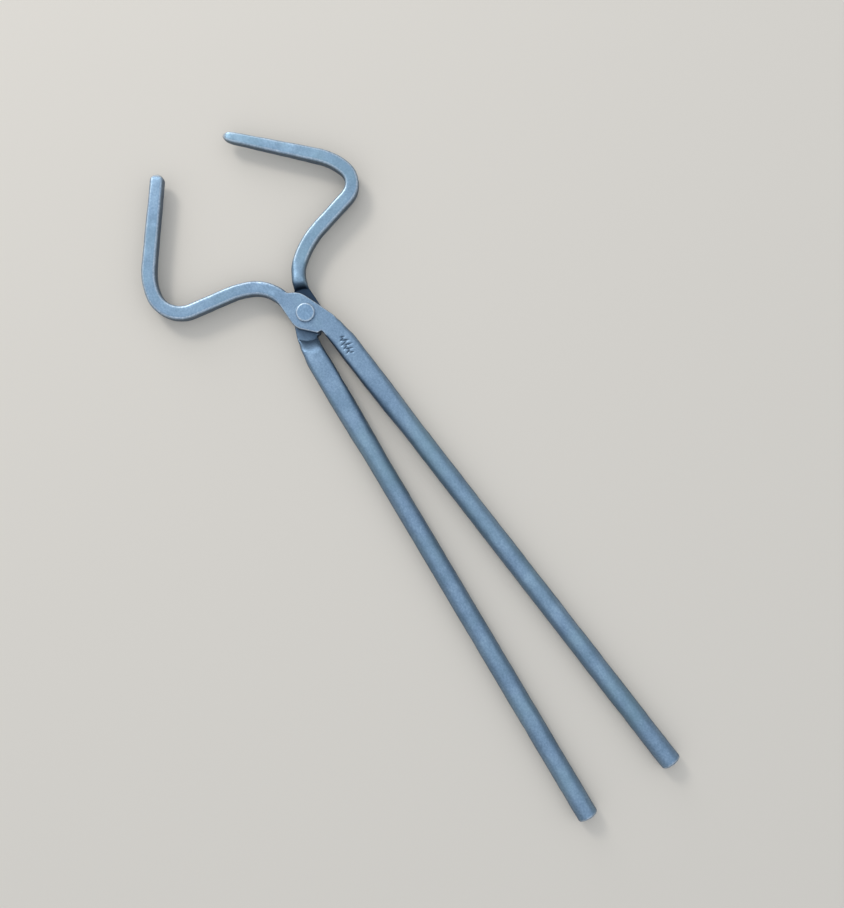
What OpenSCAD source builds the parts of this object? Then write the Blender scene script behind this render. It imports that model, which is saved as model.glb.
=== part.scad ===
// Jar lifter: a pair of hand-forged tongs, two steel halves crossed on one rivet.
// The origin is on the pivot axis, at the flat underside of the lower rivet head.
// +X runs along the tool towards the jaws, and +Z runs up the pivot.
// Each half is one bar: a square jaw, a flat boss and a round rein.

/* [Rivet] */
// Diameter of the rivet shank
rivet_d = 6.35; // [4:0.05:8]
// Diameter of each rivet head
head_d = 9; // [8.2:0.1:13]
// Height of each rivet head
head_h = 1.6; // [0.8:0.1:3]
// Bevel round the edge of each rivet head
head_bevel = 0.6; // [0.1:0.1:0.7]
// Radial clearance of the shank in the upper half
bore_clearance = 0.08; // [0.02:0.01:0.1]
// Gap between the two bosses, and under the upper rivet head
joint_play = 0.1; // [0.04:0.01:0.2]

/* [Boss] */
// Thickness of one boss, half of the full bar
boss_t = 5; // [3.5:0.1:7]
// Distance from the pivot to the outer side of the boss
side_reach = 8; // [6.5:0.1:9.5]
// Distance from the pivot to the waist edge, on the other side
waist_reach = 6.6; // [5.6:0.1:8]
// Slope of the waist edge across the tool, in degrees
waist_angle = 19; // [15:0.5:22]
// Radius of the rounded toe, beside the jaw
toe_radius = 10.6; // [9:0.1:12]
// Where along the waist edge the toe starts to curve
toe_start = 4.2; // [3:0.1:5.5]
// Distance from the pivot to the square end of the heel, beside the rein
heel_reach = 11.1; // [10:0.1:12]
// Slope of the cut from the outer side to the heel, in degrees
heel_angle = 43; // [38:1:48]
// Room between the toe or heel of one half and the shoulders of the other
shoulder_gap = 0.5; // [0.3:0.1:1.5]
// How far the shoulder by the jaw slopes back from the pivot over its height
jaw_shoulder_run = 3.2; // [1:0.1:5]
// How far the shoulder by the rein slopes back from the pivot over its height
rein_shoulder_run = 6.5; // [2:0.1:9]

/* [Jaw bar] */
// Side of the square jaw bar
jaw_bar = 6.8; // [5:0.1:8.2]
// Bevel along the corners of the jaw bar
jaw_edge = 0.7; // [0.3:0.1:1.3]
// Where the jaw bar leaves the boss, along the tool
root_x = 13; // [12.8:0.1:16]
// Where the jaw bar leaves the boss, across the tool
root_y = 5.3; // [4.8:0.1:6]
// Direction in which the jaw bar leaves the boss, in degrees
root_angle = 15; // [8:1:20]
// Radius of the neck, the first curve of the jaw
neck_radius = 19; // [14:0.5:26]
// Radius of the crest, the long curve after the neck
crest_radius = 42; // [30:1:60]
// Radius of the knuckle, the soft curve between elbow and finger
knuckle_radius = 29; // [20:1:40]
// Angle through which the knuckle turns
knuckle_turn = 28; // [10:1:40]

/* [Upper half] */
// Direction of the upper jaw where the neck meets the crest
upper_neck_angle = 65; // [50:1:70]
// Direction of the upper arm
upper_arm_angle = 79.5; // [74:0.5:86]
// Length of the upper arm's straight stretch
upper_arm_length = 18.5; // [10:0.5:30]
// Radius of the upper elbow
upper_elbow_radius = 14; // [9:0.5:18]
// Direction of the upper finger
upper_finger_angle = -38.5; // [-50:0.5:-30]
// Length of the upper finger
upper_finger_length = 45.5; // [20:0.5:60]
// Width of the upper fingertip
upper_tip_width = 6.4; // [4.5:0.1:7]
// Length of the upper rein, from the pivot to its end
upper_rein_length = 270; // [150:1:400]

/* [Lower half] */
// Direction of the lower jaw where the neck meets the crest
lower_neck_angle = 50; // [42:1:64]
// Direction of the lower arm
lower_arm_angle = 76; // [72:0.5:84]
// Length of the lower arm's straight stretch
lower_arm_length = 19.5; // [10:0.5:30]
// Radius of the lower elbow
lower_elbow_radius = 10; // [7:0.5:16]
// Direction of the lower finger
lower_finger_angle = -43.5; // [-54:0.5:-34]
// Length of the lower finger
lower_finger_length = 47.5; // [20:0.5:60]
// Width of the lower fingertip
lower_tip_width = 5.2; // [4:0.1:6.5]
// Length of the lower rein, from the pivot to its end
lower_rein_length = 268.5; // [150:1:400]

/* [Reins] */
// Diameter of the round reins
rein_d = 10; // [7.5:0.1:12.5]
// Outward slope of each rein, in degrees
rein_angle = 3.5; // [1:0.1:6]
// Distance from the tool's centreline to the inner side of a rein, level with the pivot
rein_inset = 1.45; // [1:0.05:3]
// How much wider than the round bar the square root is
root_swell = 0.8; // [0.2:0.1:1.5]
// Distance from the pivot at which the square root starts
root_start = 14; // [13:0.5:18]
// Distance from the pivot at which the rein has become round
root_length = 75; // [40:1:100]
// Bevel round the end of each rein
end_bevel = 0.8; // [0.2:0.1:2]

/* [Hidden] */
$fn = 96;

// Height of a boss's outer face above the mid-plane, where the two halves meet
boss_top = boss_t + joint_play / 2;
// Height of the mid-plane above the underside of the lower rivet head
mid_z = head_h + boss_top;
// Underside and top of the upper rivet head
upper_head_z = mid_z + boss_top + joint_play;
rivet_top = upper_head_z + head_h;

// How far the roots of the jaw and the rein lie below the faces of the boss
top_step = 0.04;

// Round reins and their square roots
rein_r = rein_d / 2;
rein_y = rein_inset + rein_r;
root_half = (rein_d + root_swell) / 2;
root_half_height = max(boss_top - top_step, rein_r + top_step / 4);
// Half the diagonal of the root where it starts, with its corners worn back a little
corner_wear = 0.3;
root_corner = norm([root_half, root_half_height]) - corner_wear;

// The toe's arc is tangent to the waist edge
waist_along = [cos(waist_angle), sin(waist_angle)];
waist_out = [sin(waist_angle), -cos(waist_angle)];
toe_centre = waist_along * toe_start + waist_out * (waist_reach - toe_radius);
// Direction from the toe's centre at which the toe runs into the jaw
toe_end_angle = -20;
// Distance from the pivot to the toe, straight along the tool
toe_reach = toe_centre[0] + sqrt(pow(toe_radius, 2) - pow(toe_centre[1], 2));
// The heel's corner lies on the tangent that leaves the round side at heel_angle
heel_y = side_reach / cos(heel_angle) - heel_reach * tan(heel_angle);
shoulder_radius = max(toe_reach, norm([heel_reach, heel_y])) + shoulder_gap;

// How far a cutting solid runs past what it cuts
overshoot = 1;
// How far the jaw and the rein are let into the boss
root_lead = 2;
jaw_inset = 0.5;
// Largest turn between two rings of a bend, in degrees, and the rings round the fingertip
bend_step = 6;
tip_angles = [22, 42, 60, 76];
// Steps along each arc of the boss
arc_steps = 16;
steel = [0.49, 0.58, 0.66];
rivet_steel = [0.45, 0.54, 0.61];

// Points along an arc, from one direction to another
function arc_points(centre, radius, from, to) =
    [for (i = [0 : arc_steps]) let (a = from + (to - from) * i / arc_steps)
        centre + radius * [cos(a), sin(a)]];

// A bar's section with bevelled corners, from its half width and half height
function bevelled(half_w, half_h, edge) = [
    [half_w, edge - half_h],
    [half_w, half_h - edge],
    [half_w - edge, half_h],
    [edge - half_w, half_h],
    [-half_w, half_h - edge],
    [-half_w, edge - half_h],
    [edge - half_w, -half_h],
    [half_w - edge, -half_h]
];

// A point on the rein's side: distance along the rein, then distance out from its axis
function rein_point(along, out) =
    [-along * cos(rein_angle) + out * sin(rein_angle),
     -rein_y - along * sin(rein_angle) - out * cos(rein_angle)];

// A point on the jaw bar's side where it leaves the boss
function root_point(side) =
    [root_x - side * sin(root_angle), root_y + side * cos(root_angle)];

// Plan of the boss, from the jaw's outer side round by the heel, the rein and the toe.
// Its end towards the rein is a little wider than the rein, and towards the jaw much narrower.
function boss_outline() = concat(
    [root_point(jaw_bar / 2 - jaw_inset)],
    arc_points([0, 0], side_reach, 90, 90 + heel_angle),
    [[-heel_reach, heel_y],
     [-heel_reach, rein_point(heel_reach, -root_half)[1]],
     rein_point(root_start, -top_step - root_half),
     rein_point(root_start, root_half + top_step)],
    arc_points(toe_centre, toe_radius, waist_angle - 90, toe_end_angle),
    [root_point(jaw_inset - jaw_bar / 2)]
);

// Length of an arc
function arc_length(radius, turn) = radius * abs(turn) * PI / 180;

// Where a stretch of bar ends: a pose is x, y and heading, a stretch is length and turn
function moved(pose, length, turn) =
    let (heading = pose[2] + turn,
         radius = turn == 0 ? 0 : length * 180 / (PI * turn))
    turn == 0
        ? [pose[0] + length * cos(heading), pose[1] + length * sin(heading), heading]
        : [pose[0] + radius * (sin(heading) - sin(pose[2])),
           pose[1] + radius * (cos(pose[2]) - cos(heading)),
           heading];

// Stops along a chain of stretches, each a pose and its distance from the start
function stops(stretches, pose) = [
    for (i = 0, here = pose, done = 0;
         i < len(stretches);
         here = moved(here, stretches[i][0], stretches[i][1]),
         done = done + stretches[i][0],
         i = i + 1)
        let (length = stretches[i][0],
             turn = stretches[i][1],
             steps = max(1, ceil(abs(turn) / bend_step)))
        for (j = [0 : steps - 1])
            [moved(here, length * j / steps, turn * j / steps), done + length * j / steps]
];

// One ring of a bar round a pose
function ring(pose, section) =
    [for (p = section)
        [pose[0] - p[0] * sin(pose[2]), pose[1] + p[0] * cos(pose[2]), p[1]]];

// A solid through a list of rings, closed at both ends
module skin(rings) {
    sides = len(rings[0]);
    last = len(rings) - 1;
    near_end = [for (k = [0 : sides - 1]) k];
    far_end = [for (k = [sides - 1 : -1 : 0]) last * sides + k];
    walls = [for (i = [0 : last - 1]) for (k = [0 : sides - 1])
        let (a = i * sides + k, b = i * sides + (k + 1) % sides)
        for (triangle = [[a, a + sides, b + sides], [a, b + sides, b]]) triangle];
    polyhedron([for (one = rings) for (p = one) p], concat([near_end, far_end], walls));
}

// The jaw: a lead inside the boss, then neck, crest, arm, elbow, knuckle and finger.
// The neck thins from the full bar to the jaw bar, and the finger tapers to a rounded tip.
module jaw(neck_angle, arm_angle, arm_length, elbow_radius, finger_angle, finger_length, tip_width) {
    neck_turn = neck_angle - root_angle;
    neck_length = arc_length(neck_radius, neck_turn);
    crest_turn = arm_angle - neck_angle;
    elbow_turn = finger_angle + knuckle_turn - arm_angle;
    tip_r = tip_width / 2;
    stretches = [
        [root_lead, 0],
        [neck_length, neck_turn],
        [arc_length(crest_radius, crest_turn), crest_turn],
        [arm_length, 0],
        [arc_length(elbow_radius, elbow_turn), elbow_turn],
        [arc_length(knuckle_radius, knuckle_turn), -knuckle_turn],
        [finger_length - tip_r, 0],
        [tip_r, 0]
    ];
    stop_list = stops(stretches, moved([root_x, root_y, root_angle], -root_lead, 0));
    tip_start = stop_list[len(stop_list) - 1];
    finger_start = tip_start[1] - finger_length + tip_r;
    bar_rings = [for (stop = stop_list)
        let (necked = min(1, max(0, (stop[1] - root_lead) / neck_length)),
             eased = necked * necked * (3 - 2 * necked),
             tapered = max(0, (stop[1] - finger_start) / (finger_length - tip_r)),
             half_w = jaw_bar / 2 + (tip_r - jaw_bar / 2) * tapered,
             half_h = half_w + (boss_top - top_step - jaw_bar / 2) * (1 - eased))
        ring(stop[0], bevelled(half_w, half_h, jaw_edge))];
    tip_rings = [for (a = tip_angles)
        ring(moved(tip_start[0], tip_r * sin(a), 0), bevelled(tip_r, tip_r, jaw_edge) * cos(a))];
    skin(concat(bar_rings, tip_rings));
}

// The rein: a square root whose corners run out into a round bar with a bevelled end
module rein(length) {
    translate([0, -rein_y, 0])
        rotate([0, 0, 180 + rein_angle])
            rotate([0, 90, 0]) {
                intersection() {
                    translate([0, 0, root_start - root_lead])
                        cylinder(
                            h = root_length - root_start + root_lead,
                            r1 = root_corner,
                            r2 = rein_r
                        );
                    translate([-root_half_height, -root_half, 0])
                        cube([2 * root_half_height, 2 * root_half, length]);
                }
                translate([0, 0, root_length])
                    cylinder(h = length - end_bevel - root_length, r = rein_r);
                translate([0, 0, length - end_bevel])
                    cylinder(h = end_bevel, r1 = rein_r, r2 = rein_r - end_bevel);
            }
}

// The room that the other half's boss needs, on one side of the pivot: everything below
// the mating face, out to that side's shoulder, and a little past the pivot
module half_room(shoulder_run, turn) {
    depth = boss_top + joint_play / 2;
    widening = shoulder_run * (depth + overshoot) / depth;
    reach = shoulder_radius + widening + overshoot;
    past_pivot = rivet_d;
    rotate([0, 0, turn])
        intersection() {
            translate([0, 0, -boss_top - overshoot])
                cylinder(
                    h = depth + overshoot,
                    r1 = shoulder_radius + widening,
                    r2 = shoulder_radius
                );
            translate([-past_pivot, -reach, -boss_top - 2 * overshoot])
                cube([past_pivot + reach, 2 * reach, depth + 3 * overshoot]);
        }
}

// One forging about the mid-plane, with its boss above it
module forging(rein_length, bore_r) {
    difference() {
        union() {
            translate([0, 0, -boss_top])
                linear_extrude(2 * boss_top)
                    polygon(boss_outline());
            children();
            rein(rein_length);
        }
        half_room(jaw_shoulder_run, 0);
        half_room(rein_shoulder_run, 180);
        cylinder(h = boss_top + overshoot, r = bore_r);
    }
}

module upper_half() {
    color(steel)
        translate([0, 0, mid_z])
            forging(upper_rein_length, rivet_d / 2 + bore_clearance)
                jaw(
                    upper_neck_angle, upper_arm_angle, upper_arm_length, upper_elbow_radius,
                    upper_finger_angle, upper_finger_length, upper_tip_width
                );
}

// The lower half is turned over about the tool's centreline, and grips the shank
module lower_half() {
    color(steel)
        translate([0, 0, mid_z])
            rotate([180, 0, 0])
                forging(lower_rein_length, rivet_d / 2)
                    jaw(
                        lower_neck_angle, lower_arm_angle, lower_arm_length, lower_elbow_radius,
                        lower_finger_angle, lower_finger_length, lower_tip_width
                    );
}

// Both heads are flat discs with a bevelled edge
module rivet() {
    head_r = head_d / 2;
    color(rivet_steel)
        rotate_extrude()
            polygon([
                [0, 0],
                [head_r - head_bevel, 0],
                [head_r, head_bevel],
                [head_r, head_h],
                [rivet_d / 2, head_h],
                [rivet_d / 2, upper_head_z],
                [head_r, upper_head_z],
                [head_r, rivet_top - head_bevel],
                [head_r - head_bevel, rivet_top],
                [0, rivet_top]
            ]);
}

upper_half();
lower_half();
rivet();
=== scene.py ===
import math

import bpy
import numpy as np
from mathutils import Matrix, Vector


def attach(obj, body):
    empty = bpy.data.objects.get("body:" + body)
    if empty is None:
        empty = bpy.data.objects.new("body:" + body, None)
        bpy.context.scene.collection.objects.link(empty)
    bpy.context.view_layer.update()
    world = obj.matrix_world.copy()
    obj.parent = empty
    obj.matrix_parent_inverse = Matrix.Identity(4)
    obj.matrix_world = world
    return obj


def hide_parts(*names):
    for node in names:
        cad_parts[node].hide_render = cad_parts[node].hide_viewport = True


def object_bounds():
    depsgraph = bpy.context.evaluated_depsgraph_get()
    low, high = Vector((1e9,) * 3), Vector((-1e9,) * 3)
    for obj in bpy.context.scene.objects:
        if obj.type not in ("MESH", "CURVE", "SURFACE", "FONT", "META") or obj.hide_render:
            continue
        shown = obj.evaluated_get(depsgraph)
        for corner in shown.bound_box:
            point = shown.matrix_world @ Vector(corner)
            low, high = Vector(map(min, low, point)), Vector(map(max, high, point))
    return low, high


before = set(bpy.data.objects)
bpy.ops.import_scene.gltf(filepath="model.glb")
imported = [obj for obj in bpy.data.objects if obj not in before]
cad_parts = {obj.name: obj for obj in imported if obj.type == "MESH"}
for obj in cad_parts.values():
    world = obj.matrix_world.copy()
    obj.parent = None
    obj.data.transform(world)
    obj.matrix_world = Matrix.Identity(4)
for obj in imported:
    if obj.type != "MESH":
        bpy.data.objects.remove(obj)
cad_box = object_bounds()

# Jar lifter: two hand-forged steel halves crossed on one rivet, lying on a pale table.
# Lengths are in millimetres until they are turned to metres by MM.
MM = 0.001
scene = bpy.context.scene

# The joint: the play between its faces, the thickness of a boss, the height of the plane
# where the halves meet, half the full bar, and how far out the bosses turn on each other
TOP_Z = round(cad_box[1][2] / MM, 3)
JOINT_PLAY = 0.1
BOSS_T = 5.0
MID_Z = (TOP_Z - JOINT_PLAY) / 2
HALF_BAR = BOSS_T + JOINT_PLAY / 2
JOINT_R = 16.0

# The rivet, and how far its hammered edge reaches in from the rim of a head
SHANK_R = 3.175
HEAD_R = 4.5
HEAD_H = MID_Z - HALF_BAR
HEAD_BEVEL = 0.6
BEVEL_REACH = 0.95


# ---------------------------------------------------------------- mesh tools
def mesh_object(name, points, faces):
    """A mesh object from points in millimetres."""
    mesh = bpy.data.meshes.new(name)
    mesh.from_pydata([tuple(p) for p in np.asarray(points) * MM], [], [list(f) for f in faces])
    mesh.validate()
    mesh.update()
    piece = bpy.data.objects.new(name, mesh)
    scene.collection.objects.link(piece)
    return piece


def read_points(mesh):
    """A mesh's points in millimetres."""
    flat = np.zeros(len(mesh.vertices) * 3)
    mesh.vertices.foreach_get("co", flat)
    return flat.reshape(-1, 3) / MM


def write_points(mesh, points):
    mesh.vertices.foreach_set("co", (points * MM).ravel())
    mesh.update()


def read_normals(mesh):
    flat = np.zeros(len(mesh.vertices) * 3)
    mesh.vertex_normals.foreach_get("vector", flat)
    return flat.reshape(-1, 3)


def read_edges(mesh):
    flat = np.zeros(len(mesh.edges) * 2, dtype=np.int64)
    mesh.edges.foreach_get("vertices", flat)
    return flat.reshape(-1, 2)


def point_values(mesh, name, values):
    """One number for each point, for a material to read."""
    attribute = mesh.attributes.new(name, "FLOAT", "POINT")
    attribute.data.foreach_set("value", values.astype(np.float32))


def neighbour_mean(values, edges):
    """For each point, the mean of the values at its neighbours."""
    count = len(values)
    total = np.zeros_like(values)
    for column in range(values.shape[1]):
        total[:, column] = (
            np.bincount(edges[:, 0], values[edges[:, 1], column], count)
            + np.bincount(edges[:, 1], values[edges[:, 0], column], count)
        )
    degree = np.bincount(edges.ravel(), minlength=count)
    return total / np.maximum(degree, 1)[:, None]


def rise(value, start, end):
    """0 up to start, 1 from end on, and a smooth step between them."""
    t = np.clip((value - start) / (end - start), 0, 1)
    return t * t * (3 - 2 * t)


def from_pivot(points):
    """How far each point is from the rivet's axis."""
    return np.hypot(points[:, 0], points[:, 1])


def from_middle(points):
    """How far each point is above or below the plane where the halves meet."""
    return np.abs(points[:, 2] - MID_Z)


# ---------------------------------------------------------------- a half, worked hot
VOXEL = 0.36

# How far one easing pass moves a point towards its neighbours' mean: at the mating faces,
# and how much further along the bars and at a boss's outer edges
EASING_PASSES = 9
FACE_EASE = 0.16
BAR_EASE = 0.3
OUTER_EASE = 0.15

# The same for the shoulders and square roots, and how far a root is then filled out
SOFTENING_PASSES = 80
ROOT_EASE = 0.6
ROOT_FILL = 0.18


def even_skin(name, node):
    """A close, even skin over a CAD node, ready to be worked like hot steel."""
    piece = bpy.data.objects.new(name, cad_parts[node].data.copy())
    scene.collection.objects.link(piece)
    remesh = piece.modifiers.new("even skin", "REMESH")
    remesh.mode = "VOXEL"
    remesh.voxel_size = VOXEL * MM
    remesh.adaptivity = 0
    remesh.use_smooth_shade = True
    bpy.context.view_layer.update()
    graph = bpy.context.evaluated_depsgraph_get()
    worked = bpy.data.meshes.new_from_object(piece.evaluated_get(graph))
    piece.modifiers.clear()
    piece.data = worked
    piece.data.name = name
    return piece


def ease_edges(points, edges):
    """Hard edges eased all over, and least at the boss's mating face."""
    for _ in range(EASING_PASSES):
        pull = neighbour_mean(points, edges) - points
        bar = rise(from_pivot(points), 14, 22)
        outer = rise(from_middle(points), 3, 4.2)
        amount = FACE_EASE + BAR_EASE * bar + OUTER_EASE * outer * (1 - bar)
        points = points + pull * amount[:, None]
    return points


def root_share(points, recess_side):
    """1 at the shoulders and the square roots, which are forged without a hard line."""
    radius = from_pivot(points)
    recess = rise(recess_side * (points[:, 2] - MID_Z), 0, 1.5)
    shoulder = recess * rise(radius, 12.5, 13.7) * (1 - rise(radius, 21, 27))
    root = (points[:, 0] < 0) * rise(radius, 13.5, 17) * (1 - rise(radius, 60, 78))
    return np.maximum(shoulder, root)


def soften(points, edges, share):
    """Rounds a region off far more than the rest."""
    for _ in range(SOFTENING_PASSES):
        pull = neighbour_mean(points, edges) - points
        points = points + pull * (ROOT_EASE * share)[:, None]
    return points


# The outer corner where the boss runs into the rein is drawn round, not square
CORNER = (-13.65, 12.7)
CORNER_INWARD = (-0.3, -0.954)
CORNER_REACH = 7.5
CORNER_DEPTH = 0.75


def round_corner(points, recess_side):
    """Draws the boss's outer corner beside the rein in, in plan."""
    across = points[:, 1] * recess_side
    away = np.hypot(points[:, 0] - CORNER[0], across - CORNER[1])
    pull = CORNER_DEPTH * np.maximum(0, 1 - (away / CORNER_REACH) ** 2) ** 2
    moved = points.copy()
    moved[:, 0] += pull * CORNER_INWARD[0]
    moved[:, 1] += pull * CORNER_INWARD[1] * recess_side
    return moved


# Each fingertip: its end, the direction it points in degrees, its half width, how far
# back it is drawn in, and how blunt it stays (0 would be a full round)
UPPER_TIP = {"end": (96.6, 21.0), "points": -38.5, "half": 3.2, "drawn": 3.2, "blunt": 0.3}
LOWER_TIP = {"end": (95.0, -14.8), "points": 43.5, "half": 2.6, "drawn": 5.5, "blunt": 0.12}

# How much of the drawing-in at a fingertip is also taken off its height
TIP_THINNING = 0.45


def tip_place(points, tip):
    """Each point's distance back from a fingertip's end, and across it."""
    turn = math.radians(tip["points"])
    east, north = points[:, 0] - tip["end"][0], points[:, 1] - tip["end"][1]
    back = -(east * math.cos(turn) + north * math.sin(turn))
    across = north * math.cos(turn) - east * math.sin(turn)
    return back, across


def draw_tip(points, tip):
    """Draws a fingertip in to a rounded end, in plan and a little in height."""
    back, across = tip_place(points, tip)
    blunt = tip["blunt"]
    share = np.clip(back / tip["drawn"], 0, 1)
    width = blunt + (1 - blunt) * np.sqrt(1 - (1 - share) ** 2)
    here = (back < tip["drawn"]) & (np.abs(across) < 2 * tip["half"])
    turn = math.radians(tip["points"])
    shift = np.where(here, across * (width - 1), 0)
    thinning = np.where(here, TIP_THINNING * (width - 1), 0)
    moved = points.copy()
    moved[:, 0] -= shift * math.sin(turn)
    moved[:, 1] += shift * math.cos(turn)
    moved[:, 2] += (points[:, 2] - MID_Z) * thinning
    return moved


def tip_wear(points, tip):
    """1 on the last millimetre or two of a fingertip, which is rubbed bright."""
    back, across = tip_place(points, tip)
    here = np.abs(across) < 2 * tip["half"]
    return here * (1 - rise(back, 0.6, 2.4)) * rise(points[:, 2] - MID_Z, -1, 1)


# ---------------------------------------------------------------- hammer and chisel
# The hammer's dishes: smallest and largest radius, shallowest and deepest, and the most
# that overlapping ones reach
BLOW_RADIUS = (2.6, 5.5)
BLOW_DEPTH = (0.03, 0.09)
BLOW_LIMIT = 0.12

# The unevenness left between blows: height, wavelength and number of waves
UNEVENNESS = ((0.05, 16, 24), (0.028, 5, 30))

# How far the whole skin is taken in, so that the unevenness stays inside the solid
SKIN_LOSS = 0.02

# The maker's mark: chisel cuts struck into the upper half beside the waist, as
# (along, across, turn in degrees, length, width), from the mark's centre
MARK_CENTRE = (-23.4, -7.4)
MARK_TURN = -8
MARK_DEPTH = 0.5
MARK_CUTS = [
    (-4.3, -0.8, 66, 2.6, 0.8),
    (-3.3, 0.5, 118, 4.0, 0.95),
    (-2.1, -0.3, 72, 5.2, 0.9),
    (-1.0, 0.9, 112, 3.6, 0.9),
    (-0.1, -0.7, 80, 5.4, 1.0),
    (1.1, 0.6, 104, 5.0, 0.9),
    (2.2, -0.5, 70, 4.8, 0.95),
    (3.2, 0.8, 114, 3.4, 0.9),
    (4.2, 0.1, 76, 2.8, 0.85),
]


def hammer_blows(points, normals, rng, count):
    """Shallow dishes left by the hammer: how far each point is driven in."""
    depth = np.zeros(len(points))
    for index in rng.integers(0, len(points), count):
        radius = rng.uniform(*BLOW_RADIUS)
        blow = rng.uniform(*BLOW_DEPTH)
        away = np.linalg.norm(points - points[index], axis=1)
        facing = normals @ normals[index]
        near = (away < radius) & (facing > 0.6)
        dish = (1 - (away[near] / radius) ** 2) ** 2
        depth[near] += blow * dish * rise(facing[near], 0.6, 0.95)
    return np.minimum(depth, BLOW_LIMIT)


def wave_relief(points, rng, wavelength, waves):
    """Smooth random relief, mostly between -1 and 1, with one typical wavelength."""
    relief = np.zeros(len(points))
    for _ in range(waves):
        direction = rng.normal(size=3)
        length = wavelength * rng.uniform(0.7, 1.5)
        direction *= 2 * math.pi / (length * np.linalg.norm(direction))
        relief += np.sin(points @ direction + rng.uniform(0, 2 * math.pi))
    return relief / math.sqrt(waves * 2)


def joint_guard(points):
    """1 where a surface may be worked freely, 0 at the mating faces and the bore."""
    radius = from_pivot(points)
    outer_face = rise(from_middle(points), 4, 4.8) * rise(radius, 3.8, 5)
    return np.maximum(rise(radius, JOINT_R, JOINT_R + 4), outer_face)


def mark_depth(points):
    """How far each point under the maker's mark is driven in, between 0 and 1."""
    turn = math.radians(MARK_TURN)
    east = points[:, 0] - MARK_CENTRE[0]
    north = points[:, 1] - MARK_CENTRE[1]
    along = east * math.cos(turn) + north * math.sin(turn)
    across = north * math.cos(turn) - east * math.sin(turn)
    deepest = np.zeros(len(points))
    for cut_along, cut_across, cut_turn, length, width in MARK_CUTS:
        lean = math.radians(cut_turn)
        u = (along - cut_along) * math.cos(lean) + (across - cut_across) * math.sin(lean)
        v = (across - cut_across) * math.cos(lean) - (along - cut_along) * math.sin(lean)
        reach = np.hypot(u / (length / 2), v / (width / 2))
        deepest = np.maximum(deepest, 1 - rise(reach ** 1.5, 0, 1.25))
    return deepest * (points[:, 2] > MID_Z + 3.5)


# ---------------------------------------------------------------- scale, wear, painted shade and painted highlight
# How dark the painted shade on the sides of the bars is, and how much of the recess's painted shade
# the rein side keeps
SIDE_PAINTED_SHADE = 0.72
REIN_RECESS_SHADE = 0.45

# How far an edge has to be rounded off for full wear and painted highlight, and how bare a
# fingertip is rubbed
FULL_WEAR_AND_HIGHLIGHT = 0.35
TIP_BARENESS = 0.8


def joint_painted_shade(points):
    """Painted shade: 1 in the recess below a boss, full towards the jaws and less towards the rein.
    """
    inside = 1 - rise(from_pivot(points), 12.5, 17)
    below = 1 - rise(from_middle(points), 0.8, 3.8)
    # the recess's painted shade is full towards the jaws and weaker towards the rein
    painted_light_mix = REIN_RECESS_SHADE + (1 - REIN_RECESS_SHADE) * rise(points[:, 0], -6, 4)
    return inside * below * painted_light_mix


def forged_half(name, node, body, seed, blows, recess_side, tip, marked):
    """One half: its solid worked over like hot steel, then rubbed, and given painted shade and a
    painted highlight.
    """
    piece = even_skin(name, node)
    mesh = piece.data
    rng = np.random.default_rng(seed)
    sharp, edges = read_points(mesh), read_edges(mesh)
    points = ease_edges(sharp, edges)
    write_points(mesh, points)
    # how far the corners were rounded off tells where an edge is
    rounded = ((sharp - points) * read_normals(mesh)).sum(axis=1)

    share = root_share(points, recess_side)
    points = round_corner(soften(points, edges, share), recess_side)
    points = draw_tip(points, tip)
    write_points(mesh, points)
    normals = read_normals(mesh)
    filled = ROOT_FILL * share * rise(from_pivot(points), 20, 26)
    points = points + normals * filled[:, None]

    driven = hammer_blows(points, normals, rng, blows)
    relief = sum(height * wave_relief(points, rng, length, waves)
                 for height, length, waves in UNEVENNESS)
    points = points + normals * ((relief - SKIN_LOSS - driven) * joint_guard(points))[:, None]
    struck = mark_depth(points) if marked else np.zeros(len(points))
    points[:, 2] -= struck * MARK_DEPTH
    write_points(mesh, points)

    # painted shade on the side faces and in the recess, fire scale in the mark, wear and painted
    # highlight on edges
    side_shade = SIDE_PAINTED_SHADE * (1 - rise(np.abs(normals[:, 2]), 0.1, 0.72))
    scale_and_painted_shade = np.maximum(np.maximum(joint_painted_shade(points), side_shade), struck)
    edge = np.clip(rounded / FULL_WEAR_AND_HIGHLIGHT, 0, 1) * (1 - share)
    point_values(mesh, "fire_scale_and_painted_shade", scale_and_painted_shade)
    point_values(mesh, "wear_and_painted_highlight", np.maximum(edge, TIP_BARENESS * tip_wear(points, tip)))
    mesh.shade_smooth()
    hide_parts(node)
    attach(piece, body)
    return piece


upper = forged_half("upper_half_forged", "upper_half", "upper_body", 11, 420,
                    -1, UPPER_TIP, True)
lower = forged_half("lower_half_forged", "lower_half", "lower_body", 23, 420,
                    1, LOWER_TIP, False)


# ---------------------------------------------------------------- the rivet
RIVET_SEGMENTS = 120
RIVET_SEED = 5

# The hammered face of a head: mean depth, height and wavelength of its dishes, and deepest
FACE_DEPTH = 0.06
FACE_RELIEF = 0.05
FACE_WAVELENGTH = 3.6
FACE_LIMIT = 0.16
# How bright a painted highlight the rim of each head gets
RIM_PAINTED_HIGHLIGHT = 0.32


def rivet_profile():
    """Radius and height up the side of the rivet, with a rounded bevel at both ends."""
    bevel = [(HEAD_R - BEVEL_REACH * (1 - math.sin(a)), HEAD_BEVEL * (1 - math.cos(a)))
             for a in np.radians([6, 15, 24, 33, 42, 51, 60, 72, 90])]
    flat = [(r, 0.0) for r in np.linspace(0.35, HEAD_R - BEVEL_REACH, 10)]
    under = [(HEAD_R, HEAD_BEVEL + 0.3), (HEAD_R, HEAD_H - 0.12),
             (HEAD_R - 0.08, HEAD_H - 0.02), (HEAD_R - 0.4, HEAD_H), (SHANK_R, HEAD_H)]
    low = flat + bevel + under
    high = [(r, TOP_Z - z) for r, z in reversed(low)]
    return low + high


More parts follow.
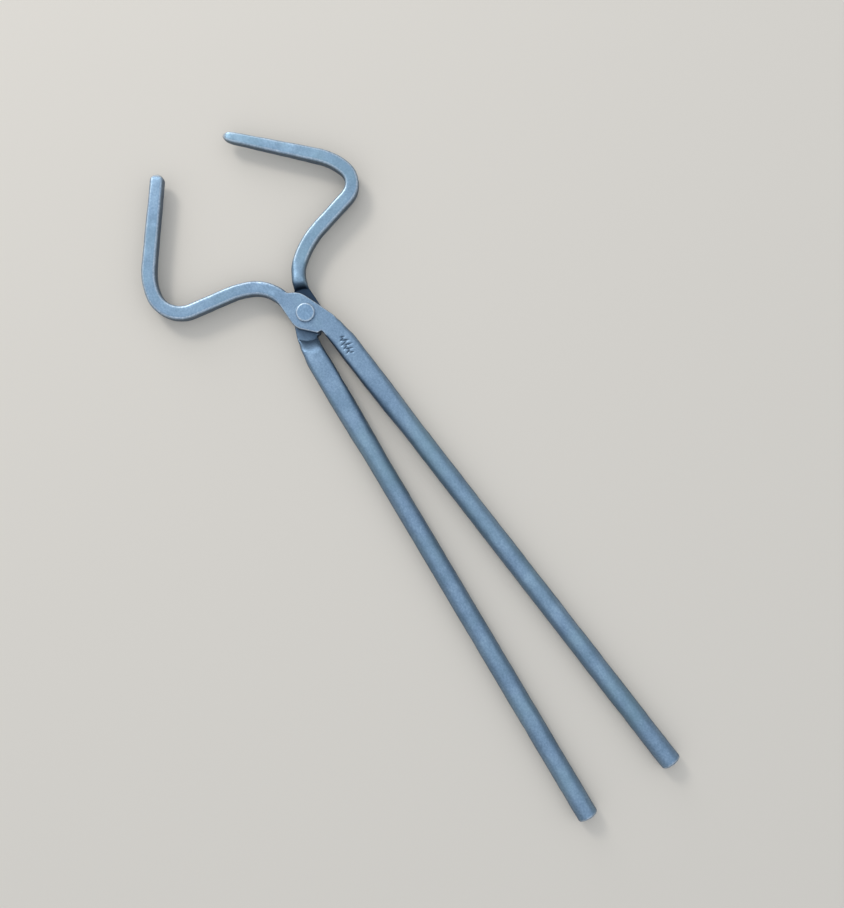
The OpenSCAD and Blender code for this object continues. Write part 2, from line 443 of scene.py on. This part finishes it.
def turned(profile, segments):
    """Points and faces of a solid turned from a profile, closed at both ends."""
    angles = np.linspace(0, 2 * math.pi, segments, endpoint=False)
    points = [(r * math.cos(a), r * math.sin(a), z) for r, z in profile for a in angles]
    faces = []
    for ring in range(len(profile) - 1):
        for k in range(segments):
            a, b = ring * segments + k, ring * segments + (k + 1) % segments
            faces.append((a, b, b + segments, a + segments))
    low, high = len(points), len(points) + 1
    points += [(0, 0, profile[0][1]), (0, 0, profile[-1][1])]
    last = (len(profile) - 1) * segments
    for k in range(segments):
        faces.append((low, (k + 1) % segments, k))
        faces.append((high, last + k, last + (k + 1) % segments))
    return np.array(points), faces


def peened_rivet():
    points, faces = turned(rivet_profile(), RIVET_SEGMENTS)
    rng = np.random.default_rng(RIVET_SEED)
    radius = from_pivot(points)
    # the upper head's face is driven in by small blows, and nothing rises above it
    dish = FACE_DEPTH + FACE_RELIEF * wave_relief(points, rng, FACE_WAVELENGTH, 24)
    dish = np.clip(dish, 0, FACE_LIMIT) * (points[:, 2] > TOP_Z - HEAD_H * 0.8)
    points[:, 2] -= dish * rise(HEAD_R - radius, -0.4, 0.8)
    piece = mesh_object("rivet_peened", points, faces)
    # a painted highlight round the bevel and side of each head
    rim_start = HEAD_R - BEVEL_REACH
    rim = rise(radius, rim_start, rim_start + 0.3) * (from_middle(points) > HALF_BAR + 0.5)
    point_values(piece.data, "wear_and_painted_highlight", RIM_PAINTED_HIGHLIGHT * rim)
    piece.data.shade_smooth()
    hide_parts("rivet")
    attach(piece, "lower_body")
    return piece


rivet = peened_rivet()


# ---------------------------------------------------------------- materials
def linear(hex_colour):
    """An sRGB hex colour as linear red, green, blue and alpha."""
    channels = [int(hex_colour[i:i + 2], 16) / 255 for i in (1, 3, 5)]
    return [c / 12.92 if c <= 0.04045 else ((c + 0.055) / 1.055) ** 2.4 for c in channels] + [1.0]


def add_node(tree, kind, settings=None, links=None):
    """Adds a node, sets its properties and sockets, and links its inputs."""
    node = tree.nodes.new(kind)
    for key, value in (settings or {}).items():
        if isinstance(key, str) and hasattr(node, key):
            setattr(node, key, value)
        else:
            node.inputs[key].default_value = value
    for key, source in (links or {}).items():
        tree.links.new(source, node.inputs[key])
    return node


def ramp_stops(node, stops):
    """Sets a colour ramp's stops: position and hex colour."""
    elements = node.color_ramp.elements
    while len(elements) < len(stops):
        elements.new(0.5)
    for element, (position, colour) in zip(elements, stops):
        element.position = position
        element.color = linear(colour)
    return node


def per_metre(size_mm):
    """A noise scale whose features are about that many millimetres across."""
    return 1 / (size_mm * MM)


# Sizes across: clouds of lighter and darker scale, specks of brushed metal, stretches
# where the temper colour ran, and the grit of the surface
CLOUD_MM = 14
SPECKLE_MM = 0.9
TEMPER_MM = 34
GRIT_MM = 0.45
BUMP_MM = 0.06


def forged_steel(name, greys, temper, bare_and_highlight, scale_and_painted_shade):
    """Carbon steel, forged, gone over with a wire brush on its blue-grey fire scale and waxed.
    The eye sees a soft satin blue-grey, clouded in patches about a centimetre wide
    that drift towards a greener grey where the temper colour ran,
    with brighter rubbed steel and a painted highlight along the rounded edges and fingertips,
    navy painted shade on the side faces and in the recess of the joint, and navy fire scale in the
    struck mark."""
    material = bpy.data.materials.new(name)
    material.use_nodes = True
    tree = material.node_tree
    tree.nodes.clear()
    place = add_node(tree, "ShaderNodeTexCoord").outputs["Object"]

    # brushed scale, from darker to lighter
    clouds = add_node(tree, "ShaderNodeTexNoise",
                      {"Scale": per_metre(CLOUD_MM), "Detail": 4.0, "Roughness": 0.5},
                      {"Vector": place})
    speckle = add_node(tree, "ShaderNodeTexNoise",
                       {"Scale": per_metre(SPECKLE_MM), "Detail": 3.0, "Roughness": 0.65},
                       {"Vector": place})
    both = add_node(tree, "ShaderNodeMix", {"data_type": "FLOAT", "Factor": 0.55},
                    {"A": clouds.outputs["Fac"], "B": speckle.outputs["Fac"]})
    tone = ramp_stops(add_node(tree, "ShaderNodeValToRGB", {}, {"Fac": both.outputs["Result"]}),
                      list(zip((0.36, 0.5, 0.64), greys)))

    # the temper colour, in long stretches
    drift = add_node(tree, "ShaderNodeTexNoise",
                     {"Scale": per_metre(TEMPER_MM), "Detail": 3.0, "Roughness": 0.55},
                     {"Vector": place})
    tempered = add_node(tree, "ShaderNodeMapRange",
                        {"From Min": 0.45, "From Max": 0.68, "To Min": 0.0, "To Max": 0.4},
                        {"Value": drift.outputs["Fac"]})
    tinted = add_node(tree, "ShaderNodeMix", {"data_type": "RGBA", "B": linear(temper)},
                      {"Factor": tempered.outputs["Result"], "A": tone.outputs["Color"]})

    # rubbed metal and a painted highlight in patches along the rounded edges and fingertips
    wear_and_highlight = add_node(tree, "ShaderNodeAttribute", {"attribute_name": "wear_and_painted_highlight"})
    patchy = add_node(tree, "ShaderNodeMath", {"operation": "MULTIPLY"},
                      {0: wear_and_highlight.outputs["Fac"], 1: speckle.outputs["Fac"]})
    worn_and_lit = add_node(tree, "ShaderNodeMapRange", {"From Min": 0.04, "From Max": 0.26},
                    {"Value": patchy.outputs["Value"]})
    painted_light_mix = add_node(tree, "ShaderNodeMix", {"data_type": "RGBA", "B": linear(bare_and_highlight)},
                       {"Factor": worn_and_lit.outputs["Result"], "A": tinted.outputs["Result"]})

    # painted shade on the side faces and in the joint's recess, and dark fire scale in the struck
    # mark
    scale = add_node(tree, "ShaderNodeAttribute", {"attribute_name": "fire_scale_and_painted_shade"})
    colour = add_node(tree, "ShaderNodeMix", {"data_type": "RGBA", "B": linear(scale_and_painted_shade)},
                      {"Factor": scale.outputs["Fac"], "A": painted_light_mix.outputs["Result"]})

    # a satin surface, a little rougher where it is darker, with a fine grit
    rough = add_node(tree, "ShaderNodeMapRange",
                     {"From Min": 0.35, "From Max": 0.65, "To Min": 0.52, "To Max": 0.38},
                     {"Value": both.outputs["Result"]})
    grit = add_node(tree, "ShaderNodeTexNoise",
                    {"Scale": per_metre(GRIT_MM), "Detail": 2.0}, {"Vector": place})
    relief = add_node(tree, "ShaderNodeMix", {"data_type": "FLOAT", "Factor": 0.5},
                      {"A": speckle.outputs["Fac"], "B": grit.outputs["Fac"]})
    bump = add_node(tree, "ShaderNodeBump", {"Strength": 0.5, "Distance": BUMP_MM * MM},
                    {"Height": relief.outputs["Result"]})
    shader = add_node(tree, "ShaderNodeBsdfPrincipled", {"Metallic": 0.85},
                      {"Base Color": colour.outputs["Result"],
                       "Roughness": rough.outputs["Result"],
                       "Normal": bump.outputs["Normal"]})
    add_node(tree, "ShaderNodeOutputMaterial", {}, {"Surface": shader.outputs["BSDF"]})
    return material


def finish_piece(piece, material):
    piece.data.materials.clear()
    piece.data.materials.append(material)


# the last colour is the navy of the painted shade and of the fire scale in the mark
half_steel = forged_steel("forged_waxed_steel", ("#6B849A", "#7A92AA", "#8BA4B9"),
                          temper="#7F9EA6", bare_and_highlight="#CBD3DA", scale_and_painted_shade="#2A3A4C")
rivet_steel = forged_steel("peened_rivet_steel", ("#69859E", "#7893AE", "#89A5BD"),
                           temper="#7FA0A6", bare_and_highlight="#C3CED8", scale_and_painted_shade="#2A3A4C")
for half in (upper, lower):
    finish_piece(half, half_steel)
finish_piece(rivet, rivet_steel)


# ---------------------------------------------------------------- table, light and camera
# The tool rests on the flat of the lower rivet head and the undersides of the rein ends,
# so the table slopes slightly in the part's frame: it meets the first at height 0 and the
# second at REIN_UNDERSIDE.
HEAD_TOUCH_X = HEAD_BEVEL - HEAD_R
REIN_TOUCH_X = -268.7
REIN_UNDERSIDE = 1.65
TABLE_SLOPE = REIN_UNDERSIDE / (HEAD_TOUCH_X - REIN_TOUCH_X)
TABLE_HALF = 20000


def pale_table():
    corners = [(x, y, (HEAD_TOUCH_X - x) * TABLE_SLOPE)
               for x, y in ((-TABLE_HALF, -TABLE_HALF), (TABLE_HALF, -TABLE_HALF),
                            (TABLE_HALF, TABLE_HALF), (-TABLE_HALF, TABLE_HALF))]
    table = mesh_object("pale_table", corners, [(0, 1, 2, 3)])
    return table


def matt_paint():
    """Flat emulsion paint: an even, pale warm grey with no shine."""
    paint = bpy.data.materials.new("pale_matt_table")
    paint.use_nodes = True
    shader = paint.node_tree.nodes["Principled BSDF"]
    shader.inputs["Base Color"].default_value = linear("#CFC8BE")
    shader.inputs["Roughness"].default_value = 0.9
    return paint


finish_piece(pale_table(), matt_paint())


def soft_box(name, azimuth, elevation, distance, size, watts, colour):
    """A square light that faces the tool, from an azimuth and elevation in degrees."""
    light = bpy.data.lights.new(name, "AREA")
    light.size = size
    light.energy = watts
    light.color = linear(colour)[:3]
    lamp = bpy.data.objects.new(name, light)
    scene.collection.objects.link(lamp)
    turn, lift = math.radians(azimuth), math.radians(elevation)
    way = Vector((math.cos(turn) * math.cos(lift), math.sin(turn) * math.cos(lift), math.sin(lift)))
    centre = Vector((-80, 0, 0)) * MM
    lamp.location = centre + way * distance
    lamp.rotation_euler = (-way).to_track_quat("-Z", "Y").to_euler()


def open_shade():
    """The sky of a shaded yard: brightest overhead, and darker towards the horizon."""
    world = bpy.data.worlds.new("open_shade")
    world.use_nodes = True
    tree = world.node_tree
    sky = add_node(tree, "ShaderNodeTexCoord").outputs["Generated"]
    height = add_node(tree, "ShaderNodeSeparateXYZ", {}, {"Vector": sky}).outputs["Z"]
    glow = add_node(tree, "ShaderNodeMapRange",
                    {"interpolation_type": "SMOOTHSTEP", "From Min": 0.0, "From Max": 0.95,
                     "To Min": 0.32, "To Max": 1.26}, {"Value": height})
    shade = tree.nodes["Background"]
    shade.inputs["Color"].default_value = linear("#E6EDF5")
    tree.links.new(glow.outputs["Result"], shade.inputs["Strength"])
    scene.world = world


open_shade()
soft_box("key_light", 4, 40, 1.6, 0.38, 6.4, "#FFFDF8")
soft_box("edge_light", 350, 20, 1.5, 0.9, 5, "#F6F9FF")

# The camera looks almost straight down at the tool, turned so that the jaws are up left
EYE = Vector((-114.5, 9.3, 524.2)) * MM
AIM = Vector((-85.8, -8.0, MID_Z)) * MM
UP_AZIMUTH = -34.25
LENS_MM = 46.9


def overhead_camera():
    lens = bpy.data.cameras.new("overhead")
    lens.sensor_fit = "HORIZONTAL"
    lens.sensor_width = 36
    lens.lens = LENS_MM
    lens.clip_start = 0.01
    camera = bpy.data.objects.new("overhead", lens)
    scene.collection.objects.link(camera)
    look = (AIM - EYE).normalized()
    turn = math.radians(UP_AZIMUTH)
    right = look.cross(Vector((math.cos(turn), math.sin(turn), 0))).normalized()
    up = right.cross(look)
    facing = Matrix((right, up, -look)).transposed().to_4x4()
    camera.matrix_world = Matrix.Translation(EYE) @ facing
    scene.camera = camera


overhead_camera()
scene.view_settings.view_transform = "Standard"
